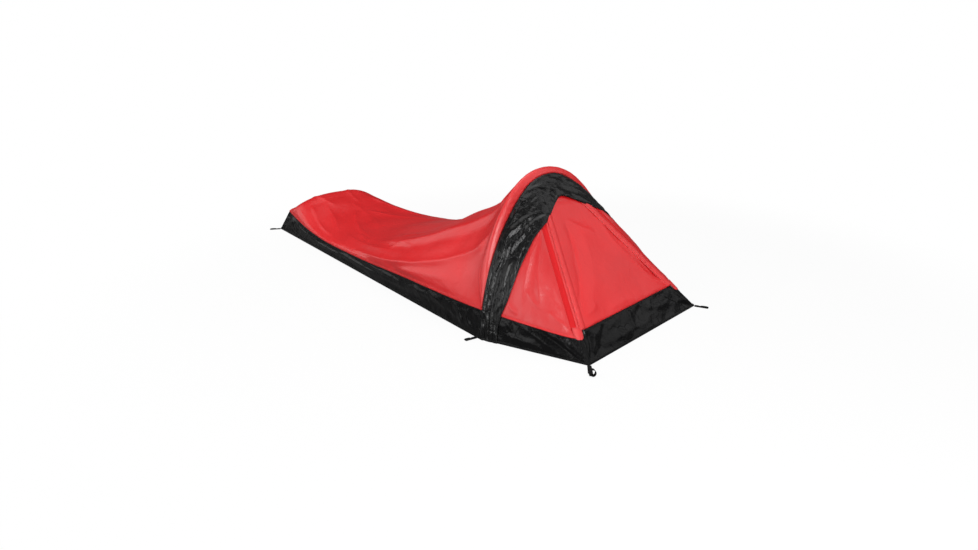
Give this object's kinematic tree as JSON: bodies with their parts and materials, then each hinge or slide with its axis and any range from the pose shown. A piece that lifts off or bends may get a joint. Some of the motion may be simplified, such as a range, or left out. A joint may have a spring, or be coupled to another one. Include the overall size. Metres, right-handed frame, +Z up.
{
  "type": "hooped bivy shelter",
  "caption": "Low single-hoop bivy shelter: red cloth body on a black tub floor, shock-corded hoop pole, black storm flap over the hoop, zipped drop-down head door and webbing peg loops.",
  "frame": {"origin": "on the ground, on the underside of the floor, midway between the feet of the hoop", "axes": "+X towards the head end and its door, +Y to the left of someone lying with the head at +X, +Z up"},
  "size_m": [2.3377, 1.078, 0.5719],
  "materials": {
    "red_cloth": "plain woven nylon with a soft sheen, coated inside",
    "tub_cloth": "coated nylon, satin",
    "floor_cloth": "coated nylon, satin",
    "flap_cloth": "calendered nylon, wrinkled and glossy",
    "webbing": "woven tape, matt",
    "elastic": "braided elastic cord",
    "pole_tube": "anodised, satin",
    "ferrule": "bare, satin",
    "zip_metal": "black enamel",
    "plastic": "moulded, matt"
  },
  "bodies": {
    "root": {"body_canopy": "red_cloth", "body_wall_left": "tub_cloth", "body_wall_right": "tub_cloth", "corner_tongue_left": "red_cloth", "corner_tongue_right": "red_cloth", "floor_panel": "floor_cloth", "foot_wall": "tub_cloth", "head_end_wall": "tub_cloth", "head_gusset_left": "red_cloth", "head_gusset_right": "red_cloth", "head_side_wall_left": "tub_cloth", "head_side_wall_right": "tub_cloth", "pole_pocket_left": "webbing", "pole_pocket_right": "webbing", "ridge_welt_left": "red_cloth", "ridge_welt_right": "red_cloth", "storm_flap": "flap_cloth", "zip_coil_body_left": "plastic", "zip_coil_body_right": "plastic"},
    "hoop": {"hoop_sleeve": "red_cloth", "pole_ferrule_1": "ferrule", "pole_ferrule_2": "ferrule", "pole_ferrule_3": "ferrule", "pole_section_1": "pole_tube", "pole_section_2": "pole_tube", "pole_section_3": "pole_tube", "pole_section_4": "pole_tube", "pole_shock_cord": "elastic", "pole_tip_left": "plastic", "pole_tip_right": "plastic"},
    "door": {"door_panel": "red_cloth", "zip_coil_door_left": "plastic", "zip_coil_door_right": "plastic"},
    "loop_foot_left": {"peg_loop_foot_left": "webbing"},
    "loop_foot_right": {"peg_loop_foot_right": "webbing"},
    "loop_head_left": {"peg_loop_head_left": "webbing"},
    "loop_head_right": {"peg_loop_head_right": "webbing"},
    "loop_hoop_left": {"peg_loop_hoop_left": "webbing"},
    "loop_hoop_right": {"peg_loop_hoop_right": "webbing"},
    "slider_left": {"zip_bail_left": "zip_metal", "zip_slider_left": "zip_metal"},
    "slider_right": {"zip_bail_right": "zip_metal", "zip_slider_right": "zip_metal"},
    "pull_left": {"zip_pull_left": "zip_metal"},
    "pull_right": {"zip_pull_right": "zip_metal"}
  },
  "joints": [
    {"name": "hoop_fold", "type": "hinge", "parent": "root", "child": "hoop", "pos_m": [-0.01964, 0, 0.0092], "axis": [0, -1, 0], "range_deg": [0, 72], "deforming": ["body_canopy", "body_wall_left", "body_wall_right", "corner_tongue_left", "corner_tongue_right", "foot_wall", "head_end_wall", "head_gusset_left", "head_gusset_right", "head_side_wall_left", "head_side_wall_right", "ridge_welt_left", "ridge_welt_right", "storm_flap", "zip_coil_body_left", "zip_coil_body_right"]},
    {"name": "door_drop", "type": "hinge", "parent": "root", "child": "door", "pos_m": [0.34383, 0, 0.088], "axis": [0, 1, 0], "range_deg": [0, 140], "deforming": ["storm_flap"]},
    {"name": "zip_right_run", "type": "slide", "parent": "root", "child": "slider_right", "axis": [-0.6527, 0.36, 0.6666], "range_m": [0, 0.46]},
    {"name": "zip_pull_right_swing", "type": "hinge", "parent": "slider_right", "child": "pull_right", "pos_m": [0.34041, -0.29836, 0.09599], "axis": [-0.2518, -0.933, 0.2572], "range_deg": [0, 150]},
    {"name": "zip_left_run", "type": "slide", "parent": "root", "child": "slider_left", "axis": [-0.6527, -0.36, 0.6666], "range_m": [0, 0.46]},
    {"name": "zip_pull_left_swing", "type": "hinge", "parent": "slider_left", "child": "pull_left", "pos_m": [0.34041, 0.29836, 0.09599], "axis": [0.2518, -0.933, -0.2572], "range_deg": [0, 150]},
    {"name": "peg_loop_foot_right_swing", "type": "hinge", "parent": "root", "child": "loop_foot_right", "pos_m": [-1.8, -0.2775, 0.0036], "axis": [-0.8192, 0.5736, 0], "range_deg": [0, 90]},
    {"name": "peg_loop_foot_left_swing", "type": "hinge", "parent": "root", "child": "loop_foot_left", "pos_m": [-1.8, 0.2775, 0.0036], "axis": [0.8192, 0.5736, 0], "range_deg": [0, 90]},
    {"name": "peg_loop_hoop_right_swing", "type": "hinge", "parent": "root", "child": "loop_hoop_right", "pos_m": [-0.02, -0.4876, 0.0036], "axis": [-0.9659, 0.2588, 0], "range_deg": [0, 90]},
    {"name": "peg_loop_hoop_left_swing", "type": "hinge", "parent": "root", "child": "loop_hoop_left", "pos_m": [-0.02, 0.4876, 0.0036], "axis": [0.9659, 0.2588, 0], "range_deg": [0, 90]},
    {"name": "peg_loop_head_right_swing", "type": "hinge", "parent": "root", "child": "loop_head_right", "pos_m": [0.43, -0.37, 0.0036], "axis": [-0.7431, -0.6691, 0], "range_deg": [0, 90]},
    {"name": "peg_loop_head_left_swing", "type": "hinge", "parent": "root", "child": "loop_head_left", "pos_m": [0.43, 0.37, 0.0036], "axis": [0.342, -0.9397, 0], "range_deg": [0, 90]}
  ]
}
